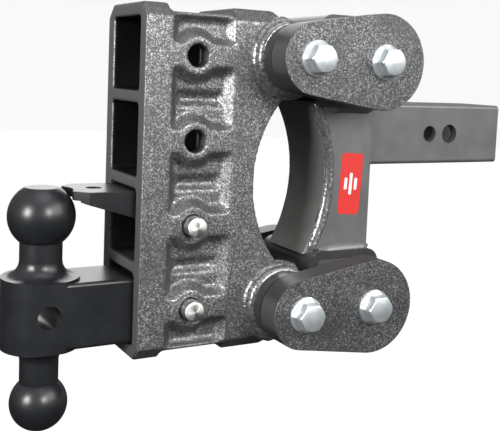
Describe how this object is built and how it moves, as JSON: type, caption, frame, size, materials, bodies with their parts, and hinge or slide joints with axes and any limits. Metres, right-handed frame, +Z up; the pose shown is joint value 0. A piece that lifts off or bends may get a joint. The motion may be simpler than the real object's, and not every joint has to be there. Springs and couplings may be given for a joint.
{
  "type": "trailer hitch",
  "caption": "Torsion-cushioned drop hitch: receiver shank, parallel links, multi-socket head, stacked dual-ball mount, lock plate and cross pins.",
  "frame": {"origin": "centre of the receiver pin hole in the shank", "axes": "+X along the shank towards the tow vehicle, +Y to the hitch's left along the receiver pin hole, +Z up; the balls are at -X"},
  "size_m": [0.5387, 0.2264, 0.3843],
  "materials": {
    "silver_vein": "silver-vein hammertone powder coat",
    "link_coat": "fine silver-vein powder coat",
    "grey_coat": "smooth satin grey powder coat",
    "dark_coat": "smooth dark grey powder coat",
    "black_coat": "satin black powder coat",
    "stainless": "turned stainless steel",
    "zinc": "bright zinc plate",
    "machined_steel": "machined steel, oiled",
    "rubber": "natural rubber cord",
    "bushing": "nylon bushing"
  },
  "bodies": {
    "root": {"receiver_shank": "grey_coat", "riser_side_plate_right": "grey_coat", "riser_side_plate_left": "grey_coat", "riser_front_plate": "dark_coat", "riser_rear_plate": "grey_coat", "upper_torsion_housing": "grey_coat", "lower_torsion_housing": "grey_coat", "upper_housing_retainers": "machined_steel", "lower_housing_retainers": "machined_steel", "upper_rubber_cords": "rubber", "lower_rubber_cords": "rubber"},
    "upper_arm": {"upper_torsion_bar": "machined_steel", "upper_pivot_shaft": "machined_steel", "upper_link_right": "link_coat", "upper_link_left": "link_coat", "upper_link_bolts": "zinc"},
    "lower_arm": {"lower_torsion_bar": "machined_steel", "lower_pivot_shaft": "machined_steel", "lower_link_right": "link_coat", "lower_link_left": "link_coat", "lower_link_bolts": "zinc"},
    "head": {"receiver_head": "silver_vein", "upper_pivot_tube": "grey_coat", "lower_pivot_tube": "grey_coat", "upper_pivot_bushings": "bushing", "lower_pivot_bushings": "bushing", "ball_mount": "black_coat", "pintle_lock": "black_coat"},
    "upper_pin": {"upper_hitch_pin": "stainless"},
    "lower_pin": {"lower_hitch_pin": "stainless"}
  },
  "joints": [
    {"name": "upper_arm_hinge", "type": "hinge", "parent": "root", "child": "upper_arm", "pos_m": [-0.1148, 0, 0.072], "axis": [0, 1, 0], "range_deg": [-15, 12], "stiffness_Nm_per_rad": 1350, "deforming": ["upper_rubber_cords"]},
    {"name": "lower_arm_hinge", "type": "hinge", "parent": "root", "child": "lower_arm", "pos_m": [-0.1148, 0, -0.16], "axis": [0, 1, 0], "range_deg": [-15, 12], "stiffness_Nm_per_rad": 1350, "deforming": ["lower_rubber_cords"]},
    {"name": "head_pivot", "type": "hinge", "parent": "upper_arm", "child": "head", "pos_m": [-0.191, 0, 0.072], "axis": [0, 1, 0], "range_deg": [-12, 15]},
    {"name": "upper_pin_slide", "type": "slide", "parent": "head", "child": "upper_pin", "axis": [0, 1, 0], "range_m": [0, 0.125]},
    {"name": "lower_pin_slide", "type": "slide", "parent": "head", "child": "lower_pin", "axis": [0, 1, 0], "range_m": [0, 0.125]}
  ],
  "couplings": [
    {"joint": "lower_arm_hinge", "follows": "upper_arm_hinge", "ratio": 1},
    {"joint": "head_pivot", "follows": "upper_arm_hinge", "ratio": -1}
  ]
}
